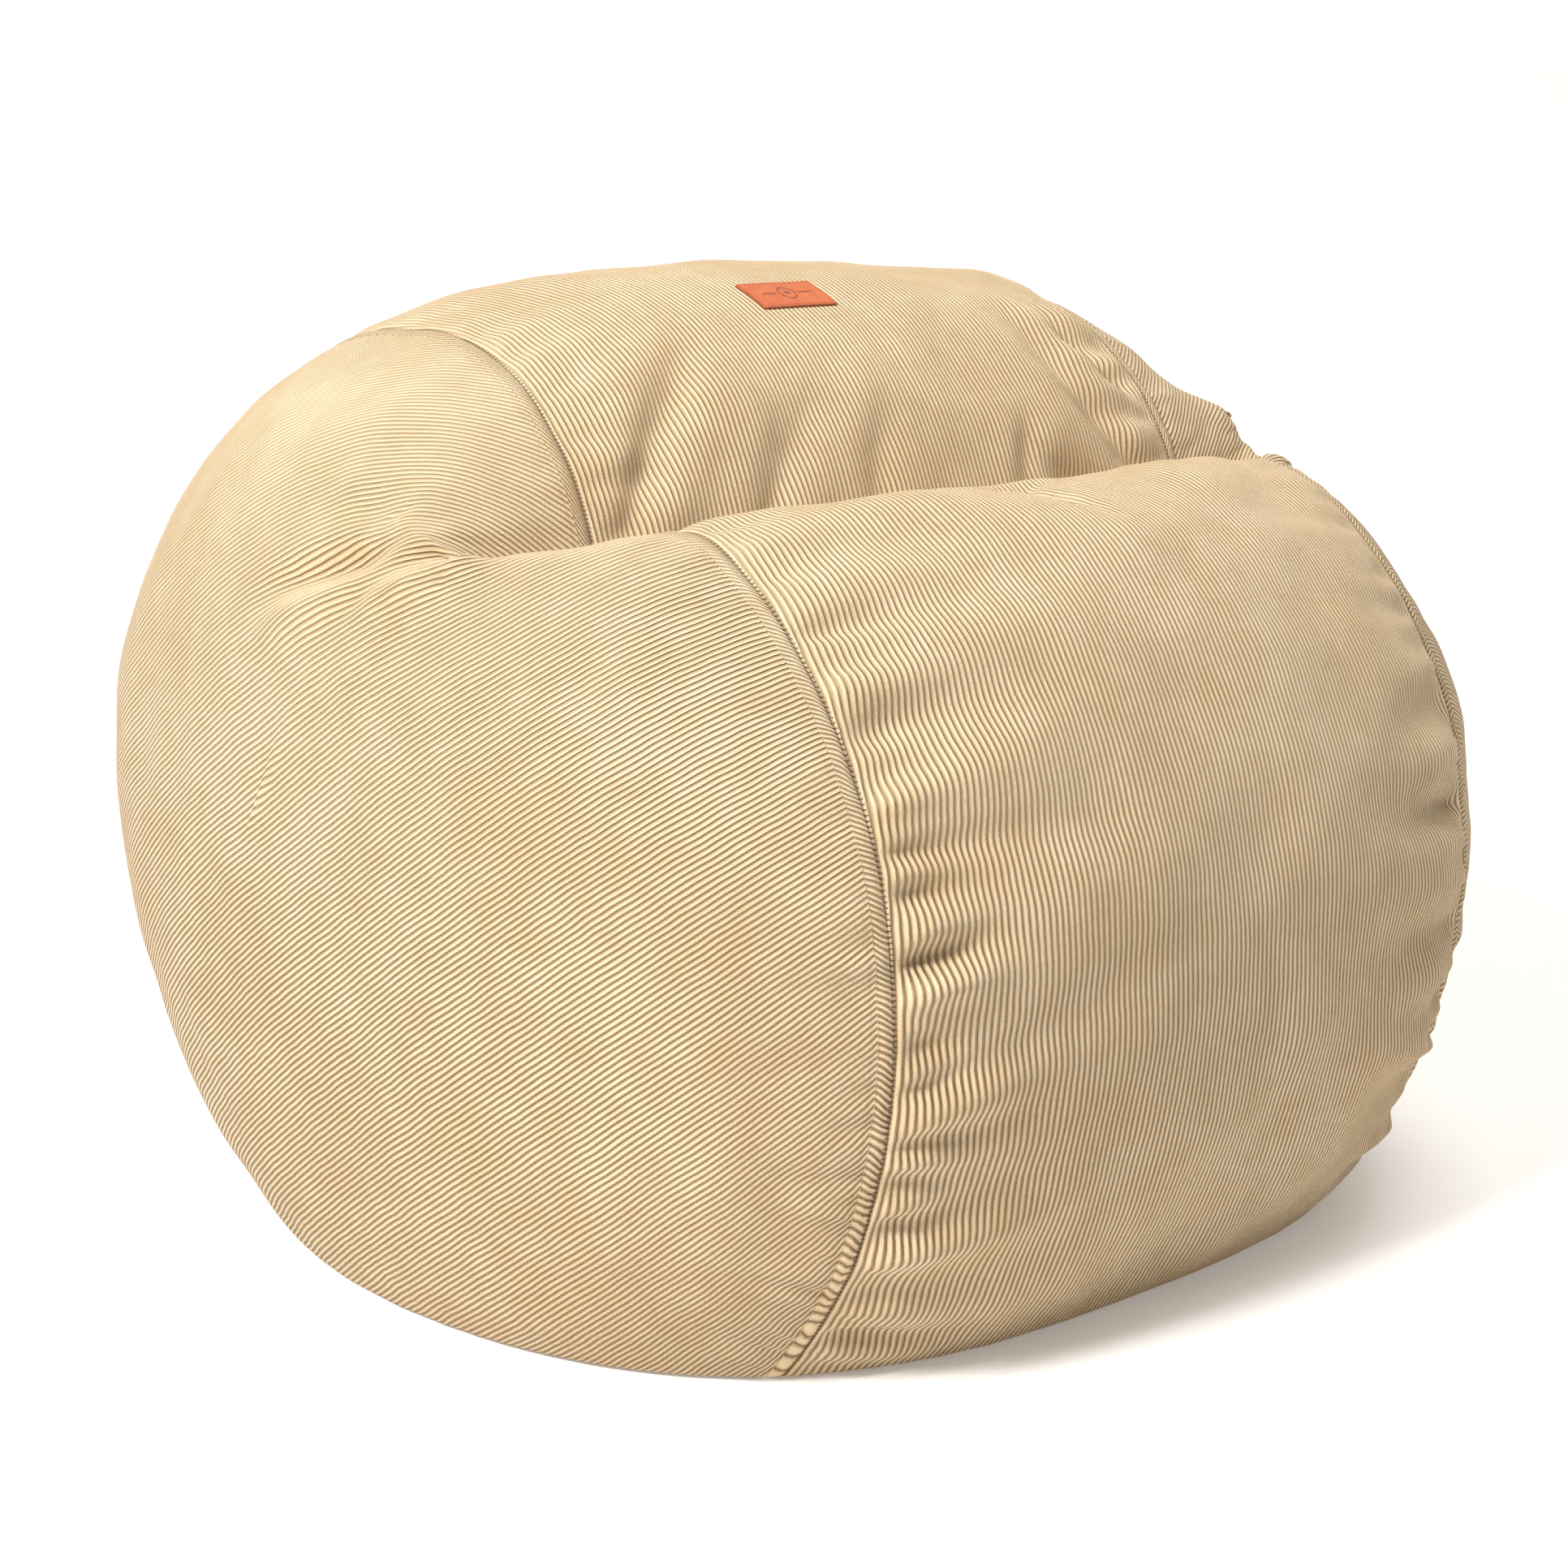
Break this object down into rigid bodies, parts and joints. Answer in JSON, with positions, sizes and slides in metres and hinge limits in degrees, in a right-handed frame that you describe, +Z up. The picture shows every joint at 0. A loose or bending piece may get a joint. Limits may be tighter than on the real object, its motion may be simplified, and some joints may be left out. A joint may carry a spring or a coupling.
{
  "type": "bean bag chair",
  "caption": "Round floor chair: a zipped corduroy cover of three panels over a folded foam mattress, with a fold that makes a seat and a back.",
  "frame": {"origin": "on the floor under the middle of the chair, in the plane of the base", "axes": "+X along the fold, from one side panel to the other; -Y towards the front lobe, where the sitter's legs go; +Z up"},
  "size_m": [1, 0.95, 0.7361],
  "materials": {
    "corduroy": "wide-wale cotton corduroy, soft matt pile with a faint sheen",
    "label_leather": "thin vegetable-tanned leather, satin",
    "zip_tape": "woven polyester tape, herringbone",
    "zip_coil": "nylon coil",
    "zip_metal": "die-cast, satin nickel",
    "casing_cotton": "plain-woven polyester-cotton",
    "casing_tape": "woven polyester tape",
    "casing_coil": "nylon coil",
    "foam": "shredded polyurethane foam, open-celled"
  },
  "bodies": {
    "root": {"cover_band": "corduroy", "cover_left_panel": "corduroy", "cover_right_panel": "corduroy", "label_patch": "label_leather", "zip_tape_upper": "zip_tape", "zip_tape_lower": "zip_tape", "zip_coil_upper": "zip_coil", "zip_coil_lower": "zip_coil", "zip_start_stop": "zip_metal", "zip_end_stop": "zip_metal", "casing_back_panel": "casing_cotton", "casing_base_panel": "casing_cotton", "casing_fold_sheet": "casing_cotton", "casing_left_side": "casing_cotton", "casing_right_side": "casing_cotton", "casing_zip_tape_upper": "casing_tape", "casing_zip_tape_lower": "casing_tape", "casing_zip_coil_upper": "casing_coil", "casing_zip_coil_lower": "casing_coil", "foam_filling": "foam"},
    "zip_slider": {"zip_slider": "zip_metal"},
    "zip_pull": {"zip_pull": "zip_metal"},
    "casing_zip_slider": {"casing_zip_slider": "zip_metal"}
  },
  "joints": [
    {"name": "zip_travel", "type": "hinge", "parent": "root", "child": "zip_slider", "pos_m": [0, -0.59024, 0.68841], "axis": [0, -0.4695, -0.8829], "range_deg": [0, 28.17]},
    {"name": "zip_pull_swing", "type": "hinge", "parent": "zip_slider", "child": "zip_pull", "pos_m": [-0.28455, 0.40754, 0.15789], "axis": [0, 0.4695, 0.8829], "range_deg": [0, 170]},
    {"name": "casing_zip_travel", "type": "hinge", "parent": "root", "child": "casing_zip_slider", "pos_m": [0, -0.59024, 0.68841], "axis": [0, -0.4695, -0.8829], "range_deg": [0, 28.51]}
  ]
}
